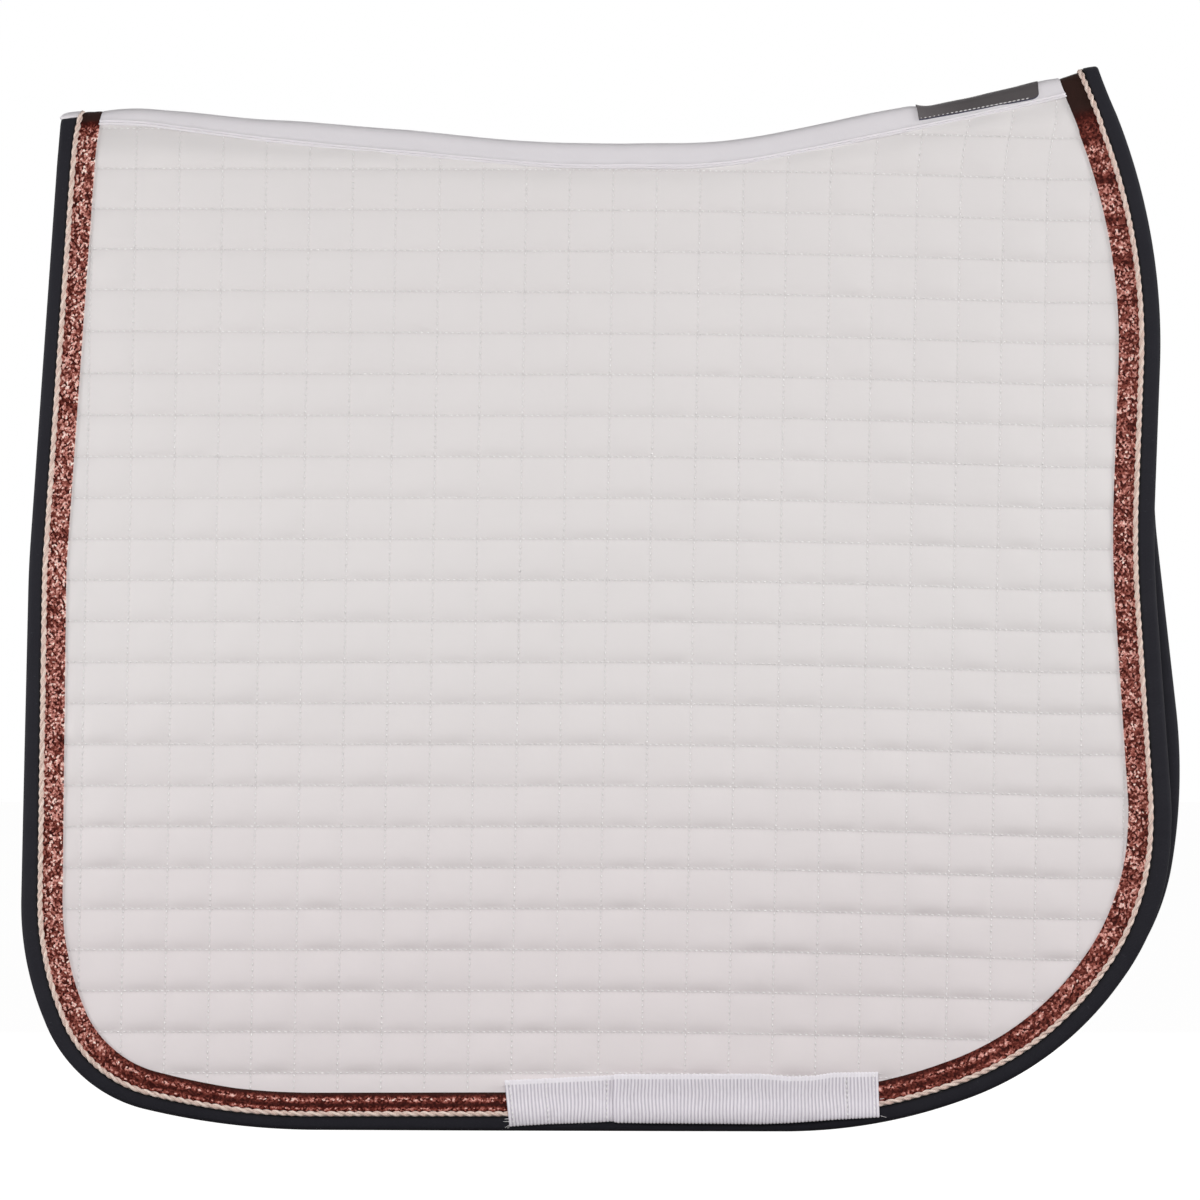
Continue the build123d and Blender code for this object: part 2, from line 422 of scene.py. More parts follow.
def endX(line, end, inset, down):
    # x of the end side (0 the rear, -1 the front) that far inside the edge and that far down from the ridge
    lowX, lowZ = (line[key][end, 0] + inset * line["in" + key.upper()][end, 0] for key in ("x", "z"))
    return upSide(lowX, lowZ, 1 / np.tan(line["heading"][end, 0]), down)


def lengthAlong(x, down):
    # running length of a line on the cloth, in mm
    steps = np.hypot(np.diff(x[:, 0]), np.diff(down[:, 0]))
    return np.concatenate([[0], np.cumsum(steps)]) / mm


def hangs(piece):
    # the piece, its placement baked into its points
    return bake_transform(piece)


trims = dict(
    cordWidth=3.1 * mm,
    nip=0.13,  # share of the depth that the binding presses out of each face
    nipReach=8 * mm,
    riseReach=7 * mm,
)


def widthAlong(line, widths):
    # width at each sample: even between the corners, plus an exponential spread at the ridge's rear end
    fromRidge = downCloth(line["x"], line["z"]) * (1 - line["climb"])
    spread = outline["rearSpread"] * np.exp(-fromRidge / outline["spreadReach"]) * (line["inX"] > 0)
    return np.interp(line["corner"], np.arange(len(outline[widths])), outline[widths]) * mm + spread


def ridgeRise(line, down, rear, front):
    # extra lift near the ridge, in mm at the rear and at the front end: a bell curve of the distance down
    return np.where(line["inX"] > 0, rear, front) * mm * bell(down, trims["riseReach"])


def nipped(down, inset):
    # how far the binding presses each face of the pad in: a share of its depth, fading out inwards
    return trims["nip"] * thickness(down) * (1 - np.clip(inset / trims["nipReach"], 0, 1))


# Quilting: lines of stitching in columns and rows

quilting = dict(
    columnPitch=25.49 * mm,
    rowPitch=24.12 * mm,
    firstColumn=-272.6 * mm,
    columnHeight=-23.5 * mm,  # where the columns are numbered; below it they lean back
    lean=0.0173,
    firstRow=-11.2 * mm,
    curl=4.5 * mm,  # the columns curl forward at the withers
    sink=6.1 * mm,  # the rows sink towards the front
    rearLift=1.6 * mm,  # and lift a little at the rear near the top
    height=1.45 * mm,  # how far a square stands above its seams
    lowHeight=1.7 * mm,  # and the same in the lowest rows
    crown=0.68,  # the stuffing hangs low, so a square is fullest this far down it
    rise=1.5,  # powers of its long rise and of its short fall
    fall=2.3,
    columnFullness=2.9,  # larger is flatter on top and steeper at the seams
    columnPull=0.5,  # how deep the column seams are beside the row seams
    uneven=0.18,
    columns=(-4, 26),  # column and row numbers that cover a flap
    rows=(-6, 25),
    lining=0.7 * mm,  # how far the lining puffs
)


def columnAt(x, z):
    # column number: even pitch, leaning back with depth, and curling forward with the square of the height
    back = quilting["lean"] * (quilting["columnHeight"] - z)
    curl = quilting["curl"] * np.clip((z + 23 * mm) / (40 * mm), 0, 1) ** 2 * np.clip(x / (200 * mm), 0, 1)
    return (x + back - curl - quilting["firstColumn"]) / quilting["columnPitch"]


def rowAt(x, z):
    # row number: even pitch, sinking as a power of the distance forward, and lifting a little at the rear
    sink = quilting["sink"] * np.clip(x / (267 * mm), 0, 1) ** 1.6
    lift = quilting["rearLift"] * np.clip(-x / (270 * mm), 0, 1) * bell(z + 80 * mm, 60 * mm)
    return (quilting["firstRow"] - sink + lift - z) / quilting["rowPitch"]


def quiltPlace(column, row):
    # x and z of a place in the pattern, by closing in on it
    x = quilting["firstColumn"] + column * quilting["columnPitch"]
    z = quilting["firstRow"] - row * quilting["rowPitch"]
    for turn in range(8):
        missX, missZ = column - columnAt(x, z), row - rowAt(x, z)
        x, z = x + missX * quilting["columnPitch"], z - missZ * quilting["rowPitch"]
    return x, z


def edgeSamples(corners):
    # x, z, inward normal and the ribbon's reach along the edge, whose two end sides run on past the ridge
    line = edgeLine(corners, 2.5 * mm)
    line["reach"] = widthAlong(line, "ribbonEnd")
    flat = line["climb"][:, 0] == 0
    x, z, inX, inZ, reach = (line[key][flat, 0] for key in ("x", "z", "inX", "inZ", "reach"))
    before, after = np.arange(80, 0, -1) * 5 * mm, np.arange(1, 80) * 5 * mm
    x = np.concatenate([x[0] - before * inZ[0], x, x[-1] + after * inZ[-1]])
    z = np.concatenate([z[0] + before * inX[0], z, z[-1] - after * inX[-1]])
    held = [np.pad(values, (len(before), len(after)), "edge") for values in (inX, inZ, reach)]
    return np.array([x, z, *held])


def insetOf(x, z, samples):
    # how far each point lies inside the edge, along the inward normal of the nearest sample, with that
    # sample's normal and ribbon reach
    edgeX, edgeZ, inX, inZ, reach = samples
    near = np.concatenate([
        np.argmin((x[block, None] - edgeX) ** 2 + (z[block, None] - edgeZ) ** 2, axis=1)
        for block in np.array_split(np.arange(x.size), 16)
    ])
    return (x - edgeX[near]) * inX[near] + (z - edgeZ[near]) * inZ[near], inX[near], inZ[near], reach[near]


def puff(column, row, x, z):
    # height of a quilted square, from -0.55 in its seams to 0.45: 1 - |2t - 1|^n across it, and down it
    # 1 - (1 - t/c)^rise above its crown c and 1 - ((t - c)/(1 - c))^fall below, with a slow unevenness
    across = 1 - np.abs(2 * (column % 1) - 1) ** quilting["columnFullness"]
    t, crown = row % 1, quilting["crown"]
    above, below = np.clip(1 - t / crown, 0, 1), np.clip((t - crown) / (1 - crown), 0, 1)
    down = 1 - above ** quilting["rise"] - below ** quilting["fall"]
    uneven = 1 + quilting["uneven"] * ripple(x, z, 0.05, 5)
    return uneven * down * (1 - quilting["columnPull"] * (1 - across)) - 0.55


def outerLift(column, row, x, z, down, inset, reach):
    # the panel's outer face: full squares in the open, pressed low under the ribbon and the band
    free = ease(inset, reach - 1 * mm, reach + 5 * mm) * ease(down, 11 * mm, 20 * mm)
    height = quilting["height"] + (quilting["lowHeight"] - quilting["height"]) * ease(row, 12, 18)
    lift = height * puff(column, row, x, z) * (0.3 + 0.7 * free)
    return lift - 0.5 * mm * (1 - free) - nipped(down, inset)


def innerLift(column, row, x, z, down, inset, reach):
    # the lining's face towards the horse, puffed the other way and less
    free = ease(inset, 4 * mm, 12 * mm) * ease(down, 12 * mm, 24 * mm)
    return -thickness(down) - quilting["lining"] * puff(column, row, x, z) * free + nipped(down, inset)


def quiltGrid(fractions, samples, edge, top):
    # grid that follows the quilting, each square cut at the same fractions. A face is kept where its middle
    # lies inside the edge and below the ridge, and the outermost points are drawn on to those two limits
    ends = (quilting["columns"], quilting["rows"])
    cuts = [np.add.outer(np.arange(*numbers), fractions).ravel() for numbers in ends]
    column, row = np.meshgrid(*cuts, indexing="ij")
    shape, column, row = column.shape, column.ravel(), row.ravel()
    x, z = quiltPlace(column, row)
    inset, inX, inZ, reach = insetOf(x, z, samples)
    down = np.where(z < ridgeHeight(x), downCloth(x, z), -5 * mm)
    number = np.arange(x.size).reshape(shape)
    faces = np.stack([number[:-1, :-1], number[1:, :-1], number[1:, 1:], number[:-1, 1:]], -1).reshape(-1, 4)
    inside, below = inset[faces].mean(1) > edge, down[faces].mean(1) > top
    kept = inside & below
    uses = np.bincount(faces[kept].ravel(), minlength=x.size)
    rim = (uses > 0) & (uses < 4)
    atEdge = rim & (np.bincount(faces[~inside].ravel(), minlength=x.size) > 0)
    atTop = rim & (np.bincount(faces[~below].ravel(), minlength=x.size) > 0)
    x, z = x + atEdge * (edge - inset) * inX, z + atEdge * (edge - inset) * inZ
    down = np.where(atTop, top, downCloth(x, z))
    inset = np.where(atEdge, edge, inset)
    used = uses > 0
    faces = (np.cumsum(used) - 1)[faces[kept]]
    places = [values[used] for values in (column, row, x, z, down, inset, reach)]
    edges = np.stack([faces, np.roll(faces, -1, axis=1)], -1).reshape(-1, 2)
    code = edges.min(1) * len(places[0]) + edges.max(1)
    _, first, count = np.unique(code, return_index=True, return_counts=True)
    return places, faces, edges[first[count == 1]]


def closedBetween(places, faces, rim, front, back):
    # closed body between two sheets of points on one grid, walled round its rim
    column, row = places[:2]
    count = len(column)
    flat = np.stack([column * quilting["columnPitch"], row * quilting["rowPitch"]], -1) / mm
    walls = np.stack([rim[:, 1], rim[:, 0], rim[:, 0] + count, rim[:, 1] + count], -1)
    allFaces = np.concatenate([faces, faces[:, ::-1] + count, walls])
    return dict(points=np.concatenate([front, back]), faces=allFaces, flat=np.tile(flat, (2, 1))[allFaces])


def quiltedPanel(flap, side, samples):
    # shell and wadding as one body between its puffed outer face and a smooth inner one
    cut = dict(
        fractions=[0, 0.03, 0.09, 0.22, 0.4, 0.58, 0.72, 0.84, 0.94],
        edge=1.6 * mm, top=2 * mm, back=1.2 * mm,
    )
    places, faces, rim = quiltGrid(cut["fractions"], samples, cut["edge"], cut["top"])
    x, down, inset = places[2], places[4], places[5]
    front = cloth(x, side * down, outerLift(*places))
    back = cloth(x, side * down, cut["back"] - thickness(down) + nipped(down, inset))
    shape = closedBetween(places, faces, rim, front, back)
    piece = meshPiece(flap + "QuiltedPanel", shape, [quiltedCotton])
    parts = ("_outer_shell", "_wadding_core", "_top_shell", "_top_wadding")
    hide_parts(*(flap + part for part in parts))
    return hangs(piece)


def meshLining(flap, side, samples):
    # thin sheet between the lining's face and the same face moved out by the cloth
    cut = dict(fractions=[0, 0.08, 0.3, 0.55, 0.8], edge=2 * mm, top=2 * mm, cloth=0.8 * mm)
    places, faces, rim = quiltGrid(cut["fractions"], samples, cut["edge"], cut["top"])
    x, down, lift = places[2], places[4], innerLift(*places)
    inner, outer = cloth(x, side * down, lift), cloth(x, side * down, lift + cut["cloth"])
    shape = closedBetween(places, faces, rim, inner, outer)
    piece = meshPiece(flap + "Lining", shape, [liningMesh])
    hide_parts(flap + "_lining", flap + "_top_lining")
    return hangs(piece)


thread = dict(  # one stitch of the quilting or of a seam
    perSquare=7, halfLength=1.35 * mm, halfWidth=0.4 * mm, proud=0.45 * mm, sunk=0.3 * mm, dive=0.15 * mm,
)


def dashes(place, run, line):
    # one dash for each stitch along run: two sunk ends, two flanks, a crown and a root. The function
    # place(run, line, rise) puts them on their cloth
    t = thread
    run = run[:, None] + np.array([-1, 1, 0, 0, 0, 0]) * t["halfLength"]
    line = line[:, None] + np.array([0, 0, -1, 1, 0, 0]) * t["halfWidth"]
    rise = np.array([-t["dive"], -t["dive"], 0, 0, t["proud"], -t["sunk"]]) + 0 * run
    points = place(run.ravel(), line.ravel(), rise.ravel())
    dash = np.array([(0, 2, 4), (0, 4, 3), (0, 3, 5), (0, 5, 2), (1, 4, 2), (1, 3, 4), (1, 5, 3), (1, 2, 5)])
    faces = (np.arange(run.shape[0])[:, None, None] * 6 + dash).reshape(-1, 3)
    flat = np.zeros((len(faces), 3, 2)) + np.array([(0, 0), (1, 0), (0, 1)])
    return dict(points=points, faces=faces, flat=flat)


def threadPiece(name, shape):
    # a piece made of thread, its edges all soft
    return meshPiece(name, shape, [whiteThread], sharp=180)


def quiltStitches(flap, side, samples, way):
    # the stitches of every row, or of every column, evenly along the pattern
    pitches = (quilting["columnPitch"], quilting["rowPitch"])
    runPitch, linePitch = pitches if way == "Rows" else pitches[::-1]

    def onPattern(run, line, rise=0):
        numbers = [run / runPitch, line / linePitch]
        column, row = numbers if way == "Rows" else numbers[::-1]
        x, z = quiltPlace(column, row)
        inset, *_, reach = insetOf(x, z, samples)
        down = np.where(z < ridgeHeight(x), downCloth(x, z), 0)
        lift = outerLift(column, row, x, z, down, inset, reach) + rise
        return cloth(x, side * down, lift), inset, down

    each = (np.arange(-6 * thread["perSquare"], 26 * thread["perSquare"]) + 0.5) / thread["perSquare"]
    run, line = map(np.ravel, np.meshgrid(each * runPitch, np.arange(-6, 27) * linePitch))
    inset, down = onPattern(run, line)[1:]
    shown = (inset > 18 * mm) & (down > 10 * mm)  # clear of the binding and the band
    shape = dashes(lambda *at: onPattern(*at)[0], run[shown], line[shown])
    return hangs(threadPiece(flap + "QuiltingThread" + way, shape))


def edgeBinding(flap, side, corners):
    # tape folded round the pad's edge: a flat leg on each face, joined by a half round. Its section is the
    # outer contour out and the inner contour back, each the half depth of the pad plus a rise
    tape = dict(spacing=2.5 * mm, roll=2.6 * mm, rise=1.15 * mm, insideRise=0.2 * mm, cloth=0.9 * mm)
    line = edgeLine(corners, tape["spacing"])
    width, roll = widthAlong(line, "bindingWidth"), tape["roll"]
    turn = np.linspace(0, pi, 9)[1:-1]
    leg = np.concatenate([width, width - 0.5 * mm, (width + roll) / 2, 0 * width + roll], axis=1)
    contour = np.concatenate([leg, roll * (1 - np.sin(turn)) + 0 * width, leg[:, ::-1]], axis=1)
    inset = ringed(contour, tape["cloth"] + contour * (width - tape["cloth"]) / width)
    way = np.concatenate([np.ones(4), np.cos(turn), -np.ones(4)])
    way = np.concatenate([way, way[::-1]])
    rise = np.repeat([tape["rise"], tape["insideRise"]], 15)
    rise[[0, 14]] *= 0.4
    x, down = inward(line, inset)
    depth = thickness(down)
    along = lengthAlong(*inward(line, width / 2))
    wave = 0.12 * mm * ripple(along[:, None] * mm, 0, 0.02, 21)
    lift = way * (depth / 2 - nipped(down, inset) + rise + wave) - depth / 2
    lift = lift + (way > 0) * ridgeRise(line, down, 0, 1.6)
    shape = carried(cloth(x, side * down, lift), along, np.arange(31))
    piece = meshPiece(flap + "EdgeBinding", shape, [navyBinding])
    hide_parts(flap + "_edge_binding", "front_crossing_binding", "rear_crossing_binding")
    return hangs(piece)


def twistedCord(flap, side, corners):
    # two strands twisted round one line: each strand's middle goes round it in a circle once a turn
    ply = dict(spacing=1.1 * mm, radius=0.95 * mm, swing=0.72 * mm, turn=11 * mm, rise=1.85 * mm)
    line = edgeLine(corners, ply["spacing"])
    centre = widthAlong(line, "bindingWidth") + trims["cordWidth"] / 2
    along = lengthAlong(*inward(line, centre))
    run, around = along[:, None] * mm, np.arange(8) * pi / 4
    strands = []
    for start in (0, pi):
        phase = 2 * pi * run / ply["turn"] + start + 0.35 * ripple(run, 0, 0.05, 31)
        inset = centre + ply["swing"] * np.cos(phase) + ply["radius"] * np.cos(around)
        x, down = inward(line, inset)
        lift = ply["rise"] + ply["swing"] * np.sin(phase) + ply["radius"] * np.sin(around)
        lift = lift + ridgeRise(line, down, 0.3, -0.6) - nipped(down, inset)
        shape = carried(cloth(x, side * down, lift), along, np.arange(9) * 0.78)
        shape["slots"] = np.full(len(shape["faces"]), start > 0, int)
        strands.append(shape)
    piece = meshPiece(flap + "TwistedCord", together(strands), [creamStrand, roseStrand])
    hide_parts(flap + "_twisted_cord", "front_crossing_cord", "rear_crossing_cord")
    return hangs(piece)


def glitterRibbon(flap, side, corners):
    # flat ribbon sewn down along both edges: its crown is 1 - |2t - 1|^4 across, and it dips over each
    # quilting row
    tape = dict(
        spacing=2.5 * mm, tuck=1.2 * mm, crown=0.85 * mm, edge=0.45 * mm, sunk=0.9 * mm, dip=0.35,
        # painted highlight lanes along the bottom, and where the painted shade over the ridge fades out at
        # the front and the rear
        glintLanes=[(0.33, 0.14, 1), (0.76, 0.1, 0.9)],  # place across, width and strength
        frontRidgeShade=(21 * mm, 50 * mm), rearRidgeShade=(5 * mm, 15 * mm),
    )
    line = edgeLine(corners, tape["spacing"])
    start, end = widthAlong(line, "bindingWidth"), widthAlong(line, "ribbonEnd")
    across = np.linspace(0, 1, 12)
    inset = end + (start + tape["tuck"] - end) * across
    x, down = inward(line, inset)
    z = heightAt(x, down)
    row = rowAt(x, z)
    seams = puff(columnAt(x, z), row, x, z) * quilting["height"] * tape["dip"]
    crown = tape["edge"] + tape["crown"] * (1 - np.abs(2 * across - 1) ** 4)
    rise = ridgeRise(line, down, 1.3 * across - 0.4, 0.65 * across - 0.85)
    top = crown + seams - nipped(down, inset) + rise
    rings = cloth(ringed(x, x), side * ringed(down, down), ringed(top, 0 * top - tape["sunk"]))
    along = lengthAlong(*inward(line, (start + end) / 2))
    shape = carried(rings, along, roundTrip(across) * 14)
    # painted glints and shade: sparkle painted full on the two uprights but for a painted shade over each
    # seam, in two painted highlight lanes along the bottom, and none where the ribbon turns over the ridge
    # away from the light
    front, upright = line["inX"] < 0, np.abs(line["inX"]) ** 1.5
    glintLanes = sum(strength * bell(across - place, width) for place, width, strength in tape["glintLanes"])
    ridgeShadeFactor = np.where(front, ease(down, *tape["frontRidgeShade"]) * 0.97, ease(down, *tape["rearRidgeShade"]))
    seamShade = np.where(front, 0.2 + 0.35 * ease(-down, -180 * mm, -60 * mm), 0.07)
    shaded = 1 - seamShade * bell(row - np.round(row), 0.13)
    shine = upright * (0.94 + 0.06 * np.cos(4 * pi * across)) * shaded
    shine = (shine + (1 - upright) * (0.1 + 0.9 * glintLanes)) * ridgeShadeFactor
    shape["shine"] = ringed(shine, shine).ravel()
    piece = meshPiece(flap + "GlitterRibbon", shape, [glitterWeave])
    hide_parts(flap + "_glitter_ribbon", "front_crossing_ribbon", "rear_crossing_ribbon")
    return hangs(piece)


def spineBand(line):
    # satin tape over the ridge, its width split between the two sides. Its lift is a flat, plus a hem, a
    # groove, a fold and a turned edge, each a bell curve of the distance in from the edge. Its ends dive
    # under the ribbon
    tape = dict(
        nearDrop=[  # x, and the height that it covers on the near side, in mm
            (-305, 5.5), (-293, 6.5), (-258, 10.0), (-176, 13.3), (0, 14.4), (147, 15.2), (188, 14.6),
            (235, 14.0), (290, 12.0),
        ],
        dropSoftness=16 * mm, start=-298 * mm, length=572 * mm, width=33 * mm, offLimit=19 * mm, tuck=5 * mm,
        samples=230, flat=0.75 * mm, wave=0.12 * mm, slowWave=0.18 * mm,
        bells=[(0.4, 0.8, 0.45), (-0.4, 1.55, 0.35), (0.42, 2.4, 0.5), (-0.5, 0, 0.25)],
    )
    body = np.linspace(0.0085, 0.9915, tape["samples"])
    t = np.concatenate([[0, 0.003, 0.006], body, [0.994, 0.997, 1]])[:, None]
    free = ease(np.minimum(t, 1 - t), 0.004, 0.0085)
    roughX = tape["start"] + tape["length"] * t
    nearDrop = through(tape["nearDrop"], roughX, softness=tape["dropSoftness"])
    near = np.interp(nearDrop, dropTable, downTable)
    off = np.minimum(tape["width"] - near, tape["offLimit"])
    fromEdge = np.array([0, 0.25, 0.55, 0.9, 1.2, 1.55, 1.9, 2.2, 2.5, 2.9, 3.5, 4.4]) * mm
    middle = -near + fromEdge[-1] + (near + off - 2 * fromEdge[-1]) * np.linspace(0, 1, 14)[1:-1]
    down = np.concatenate([-near + fromEdge, middle, (off - fromEdge)[:, ::-1]], axis=1)
    edge = np.minimum(down + near, off - down)
    relief = sum(height * mm * bell(edge - place * mm, width * mm) for height, place, width in tape["bells"])
    wave = tape["wave"] * ripple(roughX, down, 0.014, 41) * bell(edge - 1.5 * mm, 3 * mm)
    lift = tape["flat"] + relief + wave + tape["slowWave"] * ripple(roughX, down, 0.06, 42)
    spread = outline["rearSpread"] * np.exp(-np.abs(down) / outline["spreadReach"])
    rear = endX(line, 0, outline["ribbonEnd"][0] * mm + spread - tape["tuck"], np.abs(down))
    front = endX(line, -1, outline["ribbonEnd"][-1] * mm - tape["tuck"], np.abs(down))
    x = rear + (front - rear) * t
    upper = cloth(x, down, lift * free - 0.9 * mm * (1 - free))
    lower = cloth(x, down, 0 * lift - 0.15 * mm - 1.3 * mm * (1 - free))
    band = carried(ringed(upper, lower), x[:, 20] / mm, roundTrip(edge[0]) / mm)
    piece = meshPiece("spineBand", together([band, bandTuck(line)]), [satinTape])
    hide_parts("spine_band")
    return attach(piece, "spine")


def bandTuck(line):
    # the band's rear end shows again past the cord: a padded tuck along the ridge on top of the binding, an
    # oval tube that grows to its full size from a rounded end
    tuck = dict(start=-0.7 * mm, length=13 * mm, halfWidth=4.4 * mm, halfHeight=1.9 * mm, rise=2.2 * mm)
    t, around = np.linspace(0, 1, 16)[:, None], np.arange(20) * pi / 10
    size = np.minimum(1, 1.02 - (1 - t) ** 6) ** 0.5
    x = endX(line, 0, tuck["start"], 0 * t) + tuck["length"] * t + 0 * around
    out = tuck["halfWidth"] * size * np.sin(around)
    up = tuck["halfHeight"] * size * np.cos(around) + tuck["rise"] - 0.9 * mm * t - 1.6 * mm * (1 - t) ** 4
    ring = np.stack([x, out, ridgeHeight(x) + crest(x, 0) + up - 0.07 * out ** 2 / mm], -1)
    return carried(ring, x[:, 0] / mm, np.arange(21) * 1.1)


def spineLabel():
    # woven label folded over the band: a patch whose front corners are quarter rounds and whose ends lean
    patch = dict(
        start=185.6 * mm, end=257.2 * mm, down=13.2 * mm, flare=1.1 * mm, corner=4.5 * mm, round=3.4 * mm,
        rise=0.85 * mm, cloth=0.45 * mm, hem=0.55 * mm, seam=1.3 * mm,
    )
    length = patch["end"] - patch["start"]
    lastBit = 1 - 0.06 * np.linspace(1, 0, 9) ** 1.6
    t = np.concatenate([[0, 0.01], np.linspace(0.03, 0.93, 26), lastBit])[:, None]
    across = np.sin(np.linspace(-1, 1, 33) * pi / 2 * 0.999)
    roughX = patch["start"] + length * t
    past = np.clip((roughX - patch["end"] + patch["corner"]) / patch["corner"], 0, 1)
    reach = patch["down"] + patch["flare"] * t - patch["round"] * (1 - np.sqrt(1 - 0.98 * past ** 2))
    down = across * reach
    x = roughX + np.abs(down) * (0.14 * (1 - t) + 0.05 * t)
    lift = patch["rise"] + 0.1 * mm * ripple(x, down, 0.02, 51) + 0.25 * mm * bell(t, 0.02)
    thinned = 0.25 * mm * np.exp(-(1 - np.abs(across)) / 0.01)
    upper, lower = cloth(x, down, lift + patch["cloth"] - thinned), cloth(x, down, lift)
    shape = carried(ringed(upper, lower), x[:, 16] / mm, roundTrip(across) * patch["down"] / mm)
    hem = np.abs(shape["flat"][:, :, 1]).mean(1) > (patch["down"] - patch["hem"]) / mm
    shape["slots"] = hem.astype(int)
    piece = meshPiece("spineLabel", shape, [wovenLabel, labelHem])
    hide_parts("spine_label")
    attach(piece, "spine")

    def onLabel(x, down, rise):
        return cloth(x, down, patch["rise"] + patch["cloth"] + rise * 0.8)

    run = np.arange(patch["start"] + 3 * mm, patch["end"] - 4 * mm, 2.6 * mm)
    seamDown = patch["down"] + patch["flare"] * (run - patch["start"]) / length - patch["seam"]
    seams = together([dashes(onLabel, run, way * seamDown) for way in (-1, 1)])
    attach(threadPiece("spineLabelStitches", seams), "spine")


def seamTape(line):
    # tape over the seam allowance inside the fold, following the lining round it and thinning to its edges
    tape = dict(down=16 * mm, cloth=0.8 * mm, inset=8.5 * mm, samples=120)
    t, down = np.linspace(0, 1, tape["samples"])[:, None], np.linspace(-1, 1, 33) * tape["down"]
    rear, front = (endX(line, end, tape["inset"], np.abs(down)) for end in (0, -1))
    x = rear + (front - rear) * t
    top = -thickness(down) + 0.1 * mm
    depth = tape["cloth"] * (1 - 0.7 * np.abs(down / tape["down"]) ** 8)
    bottom = top - depth + 0.08 * mm * ripple(x, down, 0.02, 61)
    rings = ringed(cloth(x, down, top + 0 * x), cloth(x, down, bottom))
    shape = carried(rings, x[:, 16] / mm, roundTrip(down) / mm)
    piece = meshPiece("spineSeamTape", shape, [satinTape])
    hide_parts("spine_seam_tape")
    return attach(piece, "spine")


strap = dict(
    start=-54.6 * mm,
    length=219.6 * mm,
    width=26 * mm,
    low=[  # heights of its two edges, as x and height in mm
        (-54.6, -572.7), (-31, -571.3), (-6, -570.5), (7, -569.7), (10, -570.5), (94, -571.2), (111, -570.6),
        (137, -568.8), (165, -567.3),
    ],
    high=[
        (-54.6, -546.4), (-31, -545.3), (7, -543.4), (10, -542.6), (94, -542.4), (111, -543.9), (125, -543.7),
        (137, -541.9), (165, -541.6),
    ],
    lean=[(-55, 0.11), (-31, 0.07), (-10, 0), (110, 0), (137, 0.03), (165, 0.03)],
    rib=2.08 * mm,
    ribHeight=0.3 * mm,
    cloth=0.95 * mm,
    lift=1.35 * mm,
    overCord=2.5 * mm,
    bow=4 * mm,  # how far the loop stands off the pad between its sewn ends
    loopRear=(8 * mm, 30 * mm),  # where it leaves the pad and is free, and the same at its front
    loopFront=(118 * mm, 143 * mm),
    waver=0.16 * mm,
    soft=0.2 * mm,
    seams=(-52, -31, 4, 145, 161),
    frays=[  # where fibres stick out: x in mm, and place across from 0 to 1
        (-54.4, 0.02), (-54.4, 0.1), (-54.4, 0.16), (-54.3, 0.9), (-53.5, 0.01), (164.2, 0.02), (164.3, 0.4),
        (164.3, 0.97),
    ],
)


def strapPlace(x, up):
    # x, height and lift of a place on the strap; up goes from 0 at its lower edge to 1 at its upper. The lift
    # takes it over the cord as a bell curve, out in a bow between its sewn ends, and in and out at one seam
    low, high = through(strap["low"], x), through(strap["high"], x)
    z = low + (high - low) * up
    over = strap["lift"] + strap["overCord"] * bell(z + 566 * mm, 6.5 * mm)
    free = ease(x, *strap["loopRear"]) * (1 - ease(x, *strap["loopFront"]))
    pinch = 0.9 * mm * bell(x - 13 * mm, 3 * mm) - 1.0 * mm * bell(x - 7.5 * mm, 1.8 * mm)
    lift = over + free * strap["bow"] * (0.75 + 0.25 * up) + pinch + strap["soft"] * ripple(x, z, 0.03, 71)
    return x + through(strap["lean"], x, 1) * (0.5 - up) * (high - low), z, lift


def girthStrap(flap, side):
    # ribbed webbing: each rib is 1 - |2t - 1|^2.4 along the strap, the edges scallop with the ribs, and a
    # plain selvedge runs along the top
    count = int(strap["length"] / strap["rib"])
    rib = np.add.outer(np.arange(count), [0, 0.07, 0.2, 0.38, 0.62, 0.8, 0.93]).ravel()[:, None]
    x = strap["start"] + rib * strap["rib"]
    fromEnd = np.minimum(x - strap["start"], x.max() - x)
    up = np.array([0, 0.012, 0.04, 0.1, 0.2, 0.32, 0.44, 0.56, 0.68, 0.8, 0.9, 0.93, 0.96, 0.988, 1])
    edge = np.minimum(up, 1 - up)
    waver = strap["waver"] * ripple(x, up * strap["width"], 0.018, 72) * ease(fromEnd, 0, 15 * mm)
    placeX, z, lift = strapPlace(x + waver, up)
    selvedge = ease(up, 0.9, 0.93) * (1 - ease(up, 0.985, 1))
    ridges = (1 - np.abs(2 * (rib % 1) - 1) ** 2.4) * (1 - 0.9 * selvedge)
    z = z + np.sign(up - 0.5) * 0.5 * mm * ridges * np.exp(-edge / 0.02)
    ridges = ridges * (0.25 + 0.75 * ease(fromEnd, 0, 1.2 * mm)) * ease(edge, -0.01, 0.03)
    front = lift + strap["cloth"] - 0.35 * mm * np.exp(-edge / 0.01) + strap["ribHeight"] * ridges
    down = side * downCloth(placeX, z)
    around = np.concatenate([up, 2 - up[::-1], [2]]) * strap["width"] / mm
    rings = ringed(cloth(placeX, down, front), cloth(placeX, down, lift))
    shape = carried(rings, rib[:, 0] * strap["rib"] / mm, around)
    piece = meshPiece(flap + "GirthStrap", shape, [ribbedWebbing], sharp=60)
    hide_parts(flap + "_girth_strap")
    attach(piece, flap + "_flap")

    def onStrap(up, x, rise):
        placeX, z, lift = strapPlace(x, up / strap["width"])
        height = lift + strap["cloth"] + strap["ribHeight"] * 0.8 + rise
        return cloth(placeX, side * downCloth(placeX, z), height)

    up, x = map(np.ravel, np.meshgrid(np.arange(2.2, 24.4, 2.7) * mm, np.array(strap["seams"]) * mm))
    seams = threadPiece(flap + "GirthStrapSeams", dashes(onStrap, up, x))
    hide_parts(flap + "_girth_strap_seams")
    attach(seams, flap + "_flap")


